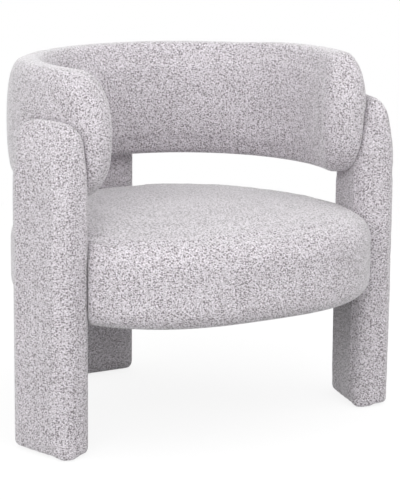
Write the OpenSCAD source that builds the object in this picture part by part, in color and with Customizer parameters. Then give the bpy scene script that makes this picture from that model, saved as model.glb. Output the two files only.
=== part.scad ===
// Tub chair: a thick round seat and a padded band that wraps the back and both arms,
// carried by three upholstered slab legs. Millimetres, +Z up, the front faces -Y.

/* [Legs] */
// Width of a leg across its broad face
leg_w = 155; // [146:1:164]
// Thickness of a leg from cover to cover
leg_t = 77; // [74:1:82]
// Radius of the four upright edges of a leg
leg_edge_r = 30; // [26:1:32]
// Width over which the two top corners round off
leg_corner_w = 56; // [44:1:62]
// Height over which the two top corners round off
leg_corner_h = 40; // [34:1:48]
// Height over which the leg thins to its ridge
leg_dome_h = 136; // [128:1:140]
// Radius of the edge round the underside of a leg
leg_foot_r = 11; // [9:1:13]
// Height of foam and cover over the boards of a leg, up to its ridge
leg_ridge_pad = 61; // [56:1:70]
// Distance by which the middle of a front leg stands outside the radius of the seat
front_leg_out = 23; // [19:1:27]
// Distance by which the middle of the rear leg stands outside the radius of the seat
rear_leg_out = 16; // [13:1:20]
// Angle by which the front legs stand forward of the sides, in degrees
leg_angle = 14.7; // [12:0.1:16]
// Height of the nylon glides
glide_h = 4; // [3:0.5:8]

/* [Seat] */
// Mean radius of the seat, round which the band and the legs stand
seat_r = 345; // [320:1:380]
// Distance by which the middle of the seat lies behind the middle of the tub
seat_shift = 11; // [6:1:14]
// Height of the underside of the seat
seat_low = 244; // [230:1:258]
// Thickness of the seat at its rim
seat_h = 158; // [140:1:180]
// Rise of the seat from its rim to its middle
seat_crown = 20; // [8:1:28]
// Radius of the lower edge of the seat
seat_low_r = 37; // [34:1:40]
// Radius of the upper edge of the seat
seat_high_r = 47; // [38:1:54]

/* [Back and arms] */
// Distance by which the outside of the padded band stands outside the radius of the seat
back_out = 3; // [1:1:6]
// Thickness of the padded band
back_t = 81; // [78:1:86]
// Height of the gap between the rim of the seat and the band
back_gap = 70; // [60:1:80]
// Height of the band from its lower to its upper edge
back_h = 234; // [224:2:250]
// Radius of the long edges of the band
back_edge_r = 30; // [26:1:34]
// Distance by which the end of an arm stands past the edge of its leg
arm_past_leg = 4.6; // [2:0.2:12]
// Length over which an arm rounds off to its end
arm_round = 77; // [66:1:84]

/* [Upholstery] */
// Thickness of the fabric of the covers
cover_t = 2.5; // [1.5:0.1:3]
// Depth of the hem that the seat cover turns under the seat
seat_hem = 28; // [20:1:36]
// Thickness of the cloth that closes the seat from below
dust_t = 0.8; // [0.5:0.1:1.5]

/* [Plywood frames] */
// Thickness of the plywood of the rings and rails
ply_t = 18; // [16:1:19]
// Width of the two rings of the seat frame
ring_w = 40; // [34:1:46]
// Height of the space between the two rings
ring_space = 26; // [24:1:30]
// Distance from the frame inside the band to the nearest leg
frame_leg_gap = 8.5; // [7:0.5:11]
// Depth of foam and cover in front of the frame inside the band
back_pad = 13; // [11:1:15]
// Thickness of the two bent panels of the band
panel_t = 4; // [3:0.5:4.5]
// Thickness of the two boards of a leg
board_t = 12; // [10:1:13]
// Depth of foam and cover over the boards of a leg
board_pad = 12.5; // [11:0.5:13.5]

/* [Fasteners] */
// Radius of the bolts
bolt_r = 4; // [3:0.5:4.5]
// Distance from the axis of a bolt to the edge of its packing block
bolt_edge = 12; // [11:0.5:14]

/* [Hidden] */

// A leg is its direction from the middle of the tub, counted from +X, and its distance.
front_leg_r = seat_r + front_leg_out;
rear_leg_r = seat_r + rear_leg_out;
rear_leg_angle = 90;
right = [-leg_angle, front_leg_r];
rear = [rear_leg_angle, rear_leg_r];
left = [180 + leg_angle, front_leg_r];
legs = [right, rear, left];

// Clearances, and the overrun of every cut
fit_gap = 0.3;
press_gap = 0.4;
foam_gap = 1.3;
leg_ridge_gap = 3;
leg_edge_gap = 2.4;
overrun = 1;

// Shares of the seat radius by which its outline waves two, three and four times round
wave_shares = [-0.029, -0.034, -0.015];
// Share of the half thickness of a leg or an arm that its edges may round
round_share = 0.96;
// Length over which an arm rounds off in plan, as a share of that in height
nose_share = 0.58;
// Where the forms have points: round the edge of a leg, at the end of an arm, up the outside of
// the band and over the top of the seat. The insides of the covers have fewer.
fan_shares = [0, 0.5, 1.05];
inner_fan_shares = [0, 1.05];
arm_tip_shares = [0.02, 0.09];
arm_body_shares = [0.75, 1];
side_shares = [0.15, 0.3, 0.45, 0.6];
crown_shares = [0.75, 0.5, 0.25];
inner_crown_shares = [0.6, 0.25];
// Steps up the ridge of a leg, crowded towards its top, in degrees and as an exponent
ridge_turn = 84;
ridge_share = 0.8;

// Pads of foam and timber round the joints
packer_t = 16;
packer_inset = 5.5;
packer_half_w = leg_w / 2 - leg_edge_r - packer_inset;
packer_half_h = 20;
packer_low_share = 0.37;
block_margin = 3;
post_w = 34;
post_count = 9;
post_turn = 30;
post_leg_turn = 17;
strap_w = 50;
strap_t = 2;
strap_count = 4;
strap_pitch = 105;
strap_margin = 6;
dust_margin = 8;

// Inside of a leg
side_foam = 16;
foot_rail_h = 40;
cross_rail_h = 16;
stile_w = 19;
joint_window = 24;
board_corner_r = 34;
leg_hem = 14;
board_lift = 3;

// Inside of the band
frame_margin = 32;
arm_pad = 36;
upright_w = 18;
upright_count = 7;
rear_upright_turn = 20;

// Bolt heads, washers, tee nuts and glides
head_r = 6.5;
head_h = 5.3;
washer_r = 8.5;
washer_t = 1.6;
bolt_clearance = 0.5;
tee_wall = 1;
tee_flange_r = 10.5;
tee_flange_t = 1.5;
tee_barrel = 10;
thread_gap = 0.05;
glide_r = 11;
glide_edge = 1;
nail_r = 1.5;
nail_reach = 16;

// Heights and places that follow from the sizes above
seat_high = seat_low + seat_h;
ring_z = seat_low + cover_t + fit_gap;
upper_ring_z = ring_z + ply_t + ring_space;
web_z = upper_ring_z + ply_t;
seat_bolt_z = ring_z + ply_t + ring_space / 2;
ring_inset = seat_low_r;
seat_stack = press_gap + cover_t + packer_t;
back_low = seat_high + back_gap;
rail_z = back_low + frame_margin;
rail_top = back_low + back_h - frame_margin;
back_bolt_z = rail_z + ply_t + washer_r + block_margin;
back_r = seat_r + back_out;
back_mid_r = back_r - back_t / 2;
frame_r = min(front_leg_r, rear_leg_r) - leg_t / 2 - frame_leg_gap;
frame_in_r = back_r - back_t + back_pad;
frame_depth = frame_r - frame_in_r;
arm_wrap = leg_angle + (leg_w / 2 + arm_past_leg) / back_mid_r * 180 / PI;
frame_turn = arm_wrap - arm_pad / back_mid_r * 180 / PI;
leg_base = glide_h;
rib_z = leg_base + cover_t + fit_gap;
bolt_gap = 2 * (packer_half_w - bolt_edge);
board_top = back_bolt_z + tee_flange_r + block_margin + cross_rail_h;
leg_top = board_top + leg_ridge_pad;
board_half_w = leg_w / 2 - side_foam;
rib_depth = leg_t - 2 * (board_t + board_pad);
board_v = rib_depth / 2;
leg_frame_half = board_v + board_t;
glide_u = board_half_w - glide_r;
seat_front = seat_r * (1 + wave_shares[0] + wave_shares[1] + wave_shares[2]) - seat_shift;
tub_y = (seat_front - rear_leg_r - leg_t / 2) / 2;

// Colours
fabric = "#cfcbce";
foam = "#f1e7c4";
plywood = "#d8b98a";
timber = "#c79f6b";
steel = "#9aa0a6";
nylon = "#3b3b3d";
webbing = "#5f5a52";
lining = "#2b2b2d";

// Puts what is drawn round the middle of the tub in its place over the origin
module placed() {
    translate([0, tub_y, 0])
        children();
}

// Turns to a leg: X then runs outward from the middle of the tub, Y across the leg
module at_leg(leg) {
    rotate([0, 0, leg[0]])
        children();
}

function polar(r, a, z) = [r * cos(a), r * sin(a), z];

// Quarter ellipse: falls from 1 at s = 0 to 0 at s = 1
function round_off(s) = sqrt(max(0, 1 - s * s));

// Angles between a and b that share the way out evenly
function spread(a, b, count) = [for (i = [1 : count]) a + (b - a) * i / (count + 1)];

function reversed(list) = [for (i = [len(list) - 1 : -1 : 0]) list[i]];

// Half thickness, half width and edge radius of a leg at a height, below its cover by inset
function leg_rise(z, rise, inset) = max(0, (z - leg_top + rise) / (rise - inset));
function leg_half_t(z, inset = 0) =
    (leg_t / 2 - inset) * round_off(leg_rise(z, leg_dome_h, inset));
function leg_half_w(z, inset = 0) =
    leg_w / 2 - inset - (leg_corner_w - inset) * (1 - round_off(leg_rise(z, leg_corner_h, inset)));
function leg_edge(z, inset = 0) = min(leg_edge_r - inset, round_share * leg_half_t(z, inset));

// Angle between two directions, whichever way round is the shorter
function turn_between(a, b) = let (turn = abs(a - b) % 360) min(turn, 360 - turn);

// How far from the middle of the tub a pad may reach in one direction before it meets a leg.
// The face of the leg is flat, and its upright edges are round.
function leg_limit(leg, a, z, gap) =
    let (turn = turn_between(a, leg[0]),
         half_t = leg_half_t(z),
         edge = leg_edge(z),
         ease = leg_ridge_gap * min(1, leg_rise(z, leg_dome_h, 0)),
         flat = (leg[1] - half_t - gap - ease) / cos(turn),
         v = leg[1] - half_t + edge,
         u = leg_half_w(z) - edge,
         off = v * sin(turn) - u * cos(turn),
         reach = edge + gap + leg_edge_gap)
    z >= leg_top || cos(turn) < sin(turn) ? 2 * leg[1]
    : flat * sin(turn) <= u ? flat
    : abs(off) < reach ? min(flat + reach, v * cos(turn) + u * sin(turn) - sqrt(reach ^ 2 - off ^ 2))
    : 2 * leg[1];

// A point of a pad, pushed in towards the middle of the tub where a leg presses on the pad
function pressed(p, gap) =
    let (a = atan2(p.y, p.x),
         free = norm([p.x, p.y]),
         held = min([for (leg = legs) leg_limit(leg, a, p.z, gap)]))
    polar(min(free, held), a, p.z);

// Directions at which a pad needs points because the edge of a leg presses into it
function edge_angles(leg, shares = fan_shares) =
    let (u = leg_w / 2 - leg_edge_r,
         inner = atan2(u, leg[1] - leg_t / 2),
         outer = atan2(leg_w / 2, leg[1] - leg_t / 2 + leg_edge_r))
    [for (share = shares) inner + share * (outer - inner)];
function edge_fan(leg, shares = fan_shares) = concat(
    [for (turn = reversed(edge_angles(leg, shares))) leg[0] - turn],
    [for (turn = edge_angles(leg, shares)) leg[0] + turn]);
function last(list) = list[len(list) - 1];

// Closed solid through a stack of rings with as many points each, counter-clockwise seen from
// the side that the stack grows towards
module stacked(rings) {
    count = len(rings[0]);
    top = (len(rings) - 1) * count;
    polyhedron(
        points = [for (ring = rings) each ring],
        faces = concat(
            [for (i = [1 : count - 2]) [0, i, i + 1]],
            [for (k = [0 : len(rings) - 2]) for (i = [0 : count - 1])
                let (a = k * count + i, b = k * count + (i + 1) % count)
                each [[a, b + count, b], [a, a + count, b + count]]],
            [for (i = [1 : count - 2]) [top, top + i + 1, top + i]]),
        convexity = 8);
}

// Ring with four round corners: half sizes along X and Y, corner radius, height
function rounded_ring(half_x, half_y, r, z, steps) =
    [for (corner = [0 : 3]) for (step = [0 : steps])
        let (a = 90 * (corner + step / steps),
             side_x = corner == 0 || corner == 3 ? 1 : -1,
             side_y = corner < 2 ? 1 : -1)
        [side_x * (half_x - r) + r * cos(a), side_y * (half_y - r) + r * sin(a), z]];

// Outline of the seat in plan, drawn in by inset, counted from the middle of the tub
seat_angles = concat(
    edge_fan(right), spread(last(edge_fan(right)), edge_fan(rear)[0], 7),
    edge_fan(rear), spread(last(edge_fan(rear)), edge_fan(left)[0], 7),
    edge_fan(left), spread(last(edge_fan(left)), edge_fan(right)[0] + 360, 13));
function seat_wave(a) = 1 + wave_shares[0] * cos(2 * a) + wave_shares[1] * cos(3 * a)
    + wave_shares[2] * cos(4 * a);
function seat_ring(inset, z, share = 1, gap = press_gap) =
    [for (a = seat_angles)
        let (reach = (seat_r * seat_wave(a + 90) - inset) * share)
        pressed(polar(reach + seat_shift * sin(a), a, z), gap)];
function seat_plan(inset, gap) = [for (p = seat_ring(inset, seat_low, 1, gap)) [p.x, p.y]];

// The padded seat, below its cover by inset: round lower edge, round upper edge, crowned top
module seat_form(inset, low_steps, high_steps, shares, gap) {
    low_r = seat_low_r - inset;
    high_r = seat_high_r - inset;
    slope = atan(2 * seat_crown / (seat_r - seat_high_r));
    lift = high_r * cos(slope);
    rim = inset + high_r * (1 - sin(slope));
    stacked(concat(
        [for (i = [0 : low_steps]) let (a = 90 * i / low_steps)
            seat_ring(inset + low_r * (1 - sin(a)), seat_low + inset + low_r * (1 - cos(a)), 1, gap)],
        [for (i = [0 : high_steps]) let (a = (90 - slope) * i / high_steps)
            seat_ring(inset + high_r * (1 - cos(a)), seat_high - inset - lift + high_r * sin(a), 1, gap)],
        [for (share = shares)
            seat_ring(rim, seat_high - inset + seat_crown * (1 - share ^ 2), share, gap)]));
}

// Section of the band at a direction, below its cover by inset. Both arms round off to an end.
// The ring starts on the inside of the band, so that its end can be closed as a fan.
function arm_start(inset) = -arm_wrap + inset / back_mid_r * 180 / PI;
function back_ring(a, inset, steps, gap) =
    let (from_end = (min(a, 180 - a) - arm_start(inset)) * back_mid_r * PI / 180,
         thin = (back_t / 2 - inset) * round_off(max(0, 1 - from_end / (arm_round * nose_share - inset))),
         tall = (back_h / 2 - inset) * round_off(max(0, 1 - from_end / (arm_round - inset))),
         r = min(back_edge_r - inset, round_share * thin),
         ring = rounded_ring(thin, tall, r, 0, steps),
         half = len(ring) / 2,
         section = concat(
             [for (i = [half : 2 * half - 1]) ring[i]],
             [for (share = side_shares) [thin, -tall + r + share * 2 * (tall - r), 0]],
             [for (i = [0 : half - 1]) ring[i]]),
         mid_z = back_low + back_h / 2)
    [for (p = section) pressed(polar(back_mid_r + p.x, a, mid_z + p.y), gap)];

// Directions of the sections: close together where an arm rounds off and where a leg presses
function back_angles(inset, shares) =
    let (round_turn = (arm_round - inset) / back_mid_r * 180 / PI,
         front_edge = [for (turn = reversed(edge_angles(right, shares))) right[0] - turn],
         rear_edge = [for (turn = edge_angles(right, shares)) right[0] + turn],
         half = concat([for (share = arm_tip_shares) arm_start(inset) + share * round_turn],
             front_edge, [for (share = arm_body_shares) arm_start(inset) + share * round_turn],
             rear_edge, spread(last(rear_edge), edge_fan(rear, shares)[0], 5),
             [for (turn = reversed(edge_angles(rear, shares))) 90 - turn]))
    concat(half, [90], [for (a = reversed(half)) 180 - a]);

module back_form(inset, steps, shares, gap) {
    stacked(reversed([for (a = back_angles(inset, shares)) back_ring(a, inset, steps, gap)]));
}

// One leg, below its cover by inset, round the Z axis: X across its thickness, Y across its width
module leg_form(inset, steps, dome_steps) {
    foot_r = leg_foot_r - inset;
    stacked(concat(
        [for (a = [0, 45, 90]) let (drawn_in = inset + foot_r * (1 - sin(a)))
            rounded_ring(leg_t / 2 - drawn_in, leg_w / 2 - drawn_in, leg_edge_r - drawn_in,
                leg_base + inset + foot_r * (1 - cos(a)), steps)],
        [for (i = [0 : dome_steps])
            let (a = ridge_turn * (i / dome_steps) ^ ridge_share,
                 z = leg_top - leg_dome_h + (leg_dome_h - inset) * sin(a))
            rounded_ring(leg_half_t(z, inset), leg_half_w(z, inset), leg_edge(z, inset), z, steps)]));
}

// The two bolt axes of every joint at one height, as rods along the radius of the tub
module bolt_rods(leg, z, r, from, to) {
    for (side = [-1, 1])
        translate([from, side * bolt_gap / 2, z])
            rotate([0, 90, 0])
                cylinder(h = to - from, r = r);
}

// Holes for the bolts of the seat and of the band, from under their washers into the legs
module seat_bolt_holes() {
    for (leg = legs)
        at_leg(leg)
            bolt_rods(leg, seat_bolt_z, bolt_r + bolt_clearance,
                seat_washer_face(leg) - overrun, leg[1] - board_v);
}
module back_bolt_holes() {
    for (leg = legs)
        at_leg(leg)
            bolt_rods(leg, back_bolt_z, bolt_r + bolt_clearance,
                back_block_in - overrun, leg[1] - board_v);
}

// A block across the face of a leg, from one radius to another
module face_block(from, to, low, high) {
    translate([from, -packer_half_w, low])
        cube([to - from, 2 * packer_half_w, high - low]);
}

// Faces of the packers on either side of the covers, and of the blocks under the washers
function seat_washer_face(leg) = seat_face(leg) - packer_t - ring_w - block_margin;
function seat_face(leg) = leg[1] - leg_t / 2 - press_gap - cover_t;
function back_face(leg) =
    leg[1] - leg_half_t(back_bolt_z - washer_r - block_margin) - press_gap - cover_t - leg_ridge_gap;
function leg_seat_face(leg) = leg[1] - leg_t / 2 + cover_t;
function leg_back_face(leg) =
    leg[1] - leg_half_t(back_bolt_z + packer_half_h - block_margin, cover_t) + 2 * fit_gap;
back_block_in = frame_in_r + panel_t + head_h + washer_t + block_margin;
back_block_out = sqrt((frame_r - panel_t - fit_gap) ^ 2 - packer_half_w ^ 2) - fit_gap;
back_block_low = rail_z + ply_t;
back_block_high = back_bolt_z + packer_half_h - block_margin;
seat_block_low = seat_low + packer_low_share * seat_low_r;
seat_block_high = seat_bolt_z + packer_half_h;

// Fabric of the seat, turned under the seat as a hem
module seat_cover() {
    color(fabric)
        placed()
            difference() {
                seat_form(0, 3, 4, crown_shares, press_gap);
                seat_form(cover_t, 2, 3, inner_crown_shares, press_gap + cover_t);
                translate([0, 0, seat_low - overrun])
                    linear_extrude(cover_t + 2 * overrun)
                        polygon(seat_plan(seat_low_r + seat_hem, 0));
                seat_bolt_holes();
            }
}

// Foam of the seat: thick over the webbing, with a skirt round the frame
module seat_foam() {
    color(foam)
        placed()
            difference() {
                seat_form(cover_t + fit_gap, 2, 3, inner_crown_shares, press_gap + cover_t + fit_gap);
                translate([0, 0, seat_low - overrun])
                    linear_extrude(web_z + 2 * strap_t + fit_gap - seat_low + overrun)
                        polygon(seat_plan(ring_inset - fit_gap, seat_stack - fit_gap));
                for (leg = legs)
                    at_leg(leg)
                        translate([0, 0, -fit_gap])
                            scale([1, 1 + fit_gap / packer_half_w, 1])
                                face_block(seat_face(leg) - 2 * packer_t, leg[1],
                                    seat_block_low, seat_block_high + 2 * fit_gap);
            }
}

// One plywood ring of the seat frame, flat where a leg is bolted on
module seat_ring_board(z) {
    translate([0, 0, z])
        linear_extrude(ply_t)
            difference() {
                polygon(seat_plan(ring_inset, seat_stack));
                polygon(seat_plan(ring_inset + ring_w, seat_stack + ring_w));
            }
}

module seat_lower_ring() {
    color(plywood)
        placed()
            seat_ring_board(ring_z);
}

module seat_upper_ring() {
    color(plywood)
        placed()
            seat_ring_board(upper_ring_z);
}

// Timber posts that hold the two rings apart between the legs
module seat_posts() {
    color(timber)
        placed()
            intersection() {
                for (i = [0 : post_count - 1])
                    let (a = post_turn + i * 360 / post_count)
                    if (min([for (leg = legs) turn_between(a, leg[0])]) > post_leg_turn)
                        translate([0, seat_shift, ring_z + ply_t])
                            rotate([0, 0, a])
                                translate([seat_r * seat_wave(a + 90) - ring_inset - block_margin
                                    - (ring_w + post_w) / 2, -post_w / 2, 0])
                                    cube([post_w, post_w, ring_space]);
                translate([0, 0, ring_z])
                    linear_extrude(upper_ring_z - ring_z + ply_t)
                        polygon(seat_plan(ring_inset, seat_stack));
            }
}

// Timber blocks between the rings, which take the bolts of the legs
module seat_mount_blocks() {
    color(timber)
        placed()
            difference() {
                for (leg = legs)
                    at_leg(leg)
                        face_block(seat_face(leg) - packer_t - ring_w - block_margin,
                            seat_face(leg) - packer_t, ring_z + ply_t, upper_ring_z);
                seat_bolt_holes();
            }
}

// Packing blocks between the seat frame and the cover, where the foam is left out
module seat_packers() {
    color(timber)
        placed()
            difference() {
                for (leg = legs)
                    at_leg(leg)
                        face_block(seat_face(leg) - packer_t, seat_face(leg),
                            seat_block_low, seat_block_high);
                seat_bolt_holes();
            }
}

// Elastic straps over the upper ring, one layer each way
module straps(z) {
    intersection() {
        for (i = [0 : strap_count - 1])
            translate([-seat_r - seat_shift, (i - (strap_count - 1) / 2) * strap_pitch - strap_w / 2, z])
                cube([2 * (seat_r + seat_shift), strap_w, strap_t]);
        translate([0, -seat_shift, z - overrun])
            cylinder(h = strap_t + 2 * overrun, r = seat_front - ring_inset - strap_margin + seat_shift);
    }
}

module webbing_crosswise() {
    color(webbing)
        placed()
            translate([0, seat_shift, 0])
                straps(web_z);
}

module webbing_lengthwise() {
    color(webbing)
        placed()
            translate([0, seat_shift, 0])
                rotate([0, 0, 90])
                    straps(web_z + strap_t);
}

// Thin cloth stapled under the seat over the hem of the cover
module dust_cover() {
    color(lining)
        placed()
            translate([0, 0, seat_low - dust_t])
                linear_extrude(dust_t)
                    polygon(seat_plan(seat_low_r + dust_margin, seat_stack));
}

// Fabric of the band
module back_cover() {
    color(fabric)
        placed()
            difference() {
                back_form(0, 3, fan_shares, press_gap);
                back_form(cover_t, 2, inner_fan_shares, press_gap + cover_t);
                back_bolt_holes();
            }
}

// The frame of the band as one closed bend, grown by a gap
module back_frame_space(gap) {
    turn = frame_turn + gap / back_mid_r * 180 / PI;
    translate([0, 0, rail_z - gap])
        rotate_extrude(start = -turn, angle = 180 + 2 * turn, $fn = 120)
            translate([frame_in_r - gap, 0])
                square([frame_depth + 2 * gap, rail_top - rail_z + 2 * gap]);
}

// Foam of the band, moulded round its frame
module back_foam() {
    color(foam)
        placed()
            difference() {
                back_form(cover_t + fit_gap, 2, inner_fan_shares, press_gap + cover_t + foam_gap);
                back_frame_space(fit_gap);
                for (leg = legs)
                    at_leg(leg)
                        translate([0, 0, -fit_gap])
                            scale([1, 1 + fit_gap / packer_half_w, 1])
                                face_block(frame_r - packer_t, leg[1],
                                    back_block_low, back_block_high + 2 * fit_gap);
            }
}

// A bent strip of the frame of the band between two radii and two heights
module bent_strip(from, to, low, high) {
    translate([0, 0, low])
        rotate_extrude(start = -frame_turn, angle = 180 + 2 * frame_turn, $fn = 120)
            translate([from, 0])
                square([to - from, high - low]);
}

module back_lower_rail() {
    color(plywood)
        placed()
            bent_strip(frame_in_r + panel_t + fit_gap, frame_r - panel_t - fit_gap,
                rail_z, rail_z + ply_t);
}

module back_upper_rail() {
    color(plywood)
        placed()
            bent_strip(frame_in_r + panel_t + fit_gap, frame_r - panel_t - fit_gap,
                rail_top - ply_t, rail_top);
}

// Battens between the two rails, clear of the blocks behind the legs
module back_uprights() {
    first = asin(upright_w / back_mid_r) - frame_turn;
    pitch = (90 - rear_upright_turn - first) / (upright_count - 1);
    color(timber)
        placed()
            for (side = [0, 1])
                mirror([side, 0, 0])
                    for (i = [0 : upright_count - 1])
                        rotate([0, 0, first + i * pitch])
                            translate([frame_in_r + panel_t + 2 * fit_gap, -upright_w / 2, back_block_high])
                                cube([frame_depth - 2 * panel_t - 5 * fit_gap, upright_w,
                                    rail_top - ply_t - back_block_high]);
}

module back_inner_panel() {
    color(plywood)
        placed()
            bent_strip(frame_in_r, frame_in_r + panel_t, rail_z, rail_top);
}

module back_outer_panel() {
    color(plywood)
        placed()
            difference() {
                bent_strip(frame_r - panel_t, frame_r, rail_z, rail_top);
                back_bolt_holes();
            }
}

// Timber blocks on the lower rail, which take the bolts of the legs
module back_mount_blocks() {
    color(timber)
        placed()
            difference() {
                for (leg = legs)
                    at_leg(leg)
                        face_block(back_block_in, back_block_out, back_block_low, back_block_high);
                back_bolt_holes();
            }
}

// Packing blocks, hollowed to the outer panel, where the foam of the band is left out
module back_packers() {
    color(timber)
        placed()
            difference() {
                for (leg = legs)
                    at_leg(leg)
                        face_block(frame_r - packer_t, back_face(leg), back_block_low, back_block_high);
                cylinder(h = back_block_high + overrun, r = frame_r + fit_gap, $fn = 120);
                back_bolt_holes();
            }
}

// Fabric of a leg, open below between its hems
module leg_cover(leg) {
    color(fabric)
        placed()
            difference() {
                at_leg(leg)
                    translate([leg[1], 0, 0])
                        difference() {
                            leg_form(0, 4, 7);
                            leg_form(cover_t, 3, 4);
                            translate([-leg_hem, glide_r + fit_gap - glide_u, leg_base - overrun])
                                cube([2 * leg_hem, 2 * (glide_u - glide_r - fit_gap), cover_t + 2 * overrun]);
                            glide_pins(nail_r + fit_gap);
                        }
                seat_bolt_holes();
                back_bolt_holes();
            }
}

// Outline of the frame of a leg, seen along the radius of the tub, with round top corners
module board_outline(margin, low) {
    half_w = board_half_w + margin;
    corner_r = board_corner_r + margin;
    translate([-half_w, low])
        square([2 * half_w, board_top + margin - corner_r - low]);
    translate([-half_w + corner_r, low])
        square([2 * (half_w - corner_r), board_top + margin - low]);
    for (side = [-1, 1])
        translate([side * (half_w - corner_r), board_top + margin - corner_r])
            circle(r = corner_r, $fn = 96);
}

// Stands an outline upright across the leg and gives it a thickness from one radius to another
module upright_board(from, to) {
    translate([from, 0, 0])
        rotate([90, 0, 90])
            linear_extrude(to - from)
                children();
}

// Foam round the frame of a leg, open below, with windows for the packing blocks
module leg_foam(leg) {
    color(foam)
        placed()
            at_leg(leg)
                difference() {
                    translate([leg[1], 0, 0])
                        leg_form(cover_t + fit_gap, 3, 4);
                    upright_board(leg[1] - leg_frame_half - fit_gap, leg[1] + leg_frame_half + fit_gap)
                        board_outline(fit_gap, 0);
                    for (span = [[seat_block_low, seat_block_high], [back_block_low, back_block_high]])
                        face_block(leg[1] - leg_t, leg[1], span[0] - fit_gap, span[1] + fit_gap);
                }
}

module leg_inner_board(leg) {
    color(plywood)
        placed()
            at_leg(leg)
                difference() {
                    upright_board(leg[1] - leg_frame_half, leg[1] - board_v)
                        board_outline(0, rib_z + board_lift);
                    for (z = [seat_bolt_z, back_bolt_z])
                        bolt_rods(leg, z, bolt_r + tee_wall + thread_gap,
                            leg[1] - leg_frame_half - overrun, leg[1] - board_v + overrun);
                }
}

module leg_outer_board(leg) {
    color(plywood)
        placed()
            at_leg(leg)
                upright_board(leg[1] + board_v, leg[1] + leg_frame_half)
                    board_outline(0, rib_z + board_lift);
}

// Windows of the ribs between the boards: low, round the seat bolts, high, round the back bolts
rib_windows = [
    [rib_z + foot_rail_h, seat_bolt_z - joint_window - cross_rail_h],
    [seat_bolt_z - joint_window, seat_bolt_z + joint_window],
    [seat_bolt_z + joint_window + cross_rail_h, back_bolt_z - joint_window - cross_rail_h],
    [back_bolt_z - joint_window, board_top - cross_rail_h]];

// Stiles and cross rails glued between the two boards of a leg
module leg_ribs(leg) {
    color(timber)
        placed()
            at_leg(leg)
                difference() {
                    upright_board(leg[1] - board_v, leg[1] + board_v)
                        difference() {
                            board_outline(0, rib_z);
                            for (gap = rib_windows)
                                translate([stile_w - board_half_w, gap[0]])
                                    square([2 * (board_half_w - stile_w), gap[1] - gap[0]]);
                        }
                    translate([leg[1], 0, 0])
                        glide_pins(nail_r + thread_gap);
                }
}

// Packing blocks on the inner board of a leg, behind its cover
module leg_packers(leg) {
    color(timber)
        placed()
            difference() {
                at_leg(leg) {
                    face_block(leg_seat_face(leg), leg[1] - leg_frame_half,
                        seat_block_low, seat_block_high);
                    face_block(leg_back_face(leg), leg[1] - leg_frame_half,
                        back_block_low, back_block_high);
                }
                seat_bolt_holes();
                back_bolt_holes();
            }
}

// The two bolts of a joint, with their heads on the washers and towards the middle of the tub
module joint_bolts(leg, z, face, reach) {
    at_leg(leg) {
        bolt_rods(leg, z, bolt_r, face - washer_t, face + reach);
        bolt_rods(leg, z, head_r, face - washer_t - head_h, face - washer_t);
    }
}

seat_bolt_reach = front_leg_r - board_v - seat_washer_face(right);
back_bolt_reach = front_leg_r - board_v - back_block_in;

module seat_bolts() {
    color(steel)
        placed()
            for (leg = legs)
                joint_bolts(leg, seat_bolt_z, seat_washer_face(leg), seat_bolt_reach);
}

module back_bolts() {
    color(steel)
        placed()
            for (leg = legs)
                joint_bolts(leg, back_bolt_z, back_block_in, back_bolt_reach);
}

module washers() {
    color(steel)
        placed()
            for (leg = legs)
                at_leg(leg)
                    for (joint = [[seat_bolt_z, seat_washer_face(leg)], [back_bolt_z, back_block_in]])
                        difference() {
                            bolt_rods(leg, joint[0], washer_r, joint[1] - washer_t, joint[1]);
                            bolt_rods(leg, joint[0], bolt_r + thread_gap,
                                joint[1] - washer_t - overrun, joint[1] + overrun);
                        }
}

// Tee nuts driven into the inner boards from inside the legs
module tee_nuts() {
    color(steel)
        placed()
            for (leg = legs)
                at_leg(leg)
                    for (z = [seat_bolt_z, back_bolt_z])
                        difference() {
                            union() {
                                bolt_rods(leg, z, bolt_r + tee_wall,
                                    leg[1] - board_v - tee_barrel, leg[1] - board_v);
                                bolt_rods(leg, z, tee_flange_r,
                                    leg[1] - board_v, leg[1] - board_v + tee_flange_t);
                            }
                            bolt_rods(leg, z, bolt_r + thread_gap,
                                leg[1] - board_v - tee_barrel - overrun,
                                leg[1] - board_v + tee_flange_t + overrun);
                        }
}

// Nails of the two glides of a leg
module glide_pins(r) {
    for (side = [-1, 1])
        translate([0, side * glide_u, leg_base - overrun])
            cylinder(h = cover_t + nail_reach + overrun, r = r);
}

// Nylon glides nailed under the hems of the legs
module glides() {
    color(nylon)
        placed()
            for (leg = legs)
                at_leg(leg)
                    translate([leg[1], 0, 0]) {
                        for (side = [-1, 1])
                            translate([0, side * glide_u, 0]) {
                                cylinder(h = glide_edge, r1 = glide_r - glide_edge, r2 = glide_r);
                                translate([0, 0, glide_edge])
                                    cylinder(h = glide_h - glide_edge, r = glide_r);
                            }
                        glide_pins(nail_r);
                    }
}

seat_cover();
seat_foam();
seat_upper_ring();
seat_lower_ring();
seat_posts();
seat_mount_blocks();
seat_packers();
webbing_crosswise();
webbing_lengthwise();
dust_cover();
back_cover();
back_foam();
back_lower_rail();
back_upper_rail();
back_uprights();
back_inner_panel();
back_outer_panel();
back_mount_blocks();
back_packers();
leg_cover(left);  // left_leg_cover
leg_foam(left);  // left_leg_foam
leg_inner_board(left);  // left_leg_inner_board
leg_outer_board(left);  // left_leg_outer_board
leg_ribs(left);  // left_leg_ribs
leg_packers(left);  // left_leg_packers
leg_cover(right);  // right_leg_cover
leg_foam(right);  // right_leg_foam
leg_inner_board(right);  // right_leg_inner_board
leg_outer_board(right);  // right_leg_outer_board
leg_ribs(right);  // right_leg_ribs
leg_packers(right);  // right_leg_packers
leg_cover(rear);  // rear_leg_cover
leg_foam(rear);  // rear_leg_foam
leg_inner_board(rear);  // rear_leg_inner_board
leg_outer_board(rear);  // rear_leg_outer_board
leg_ribs(rear);  // rear_leg_ribs
leg_packers(rear);  // rear_leg_packers
seat_bolts();
back_bolts();
washers();
tee_nuts();
glides();
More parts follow.
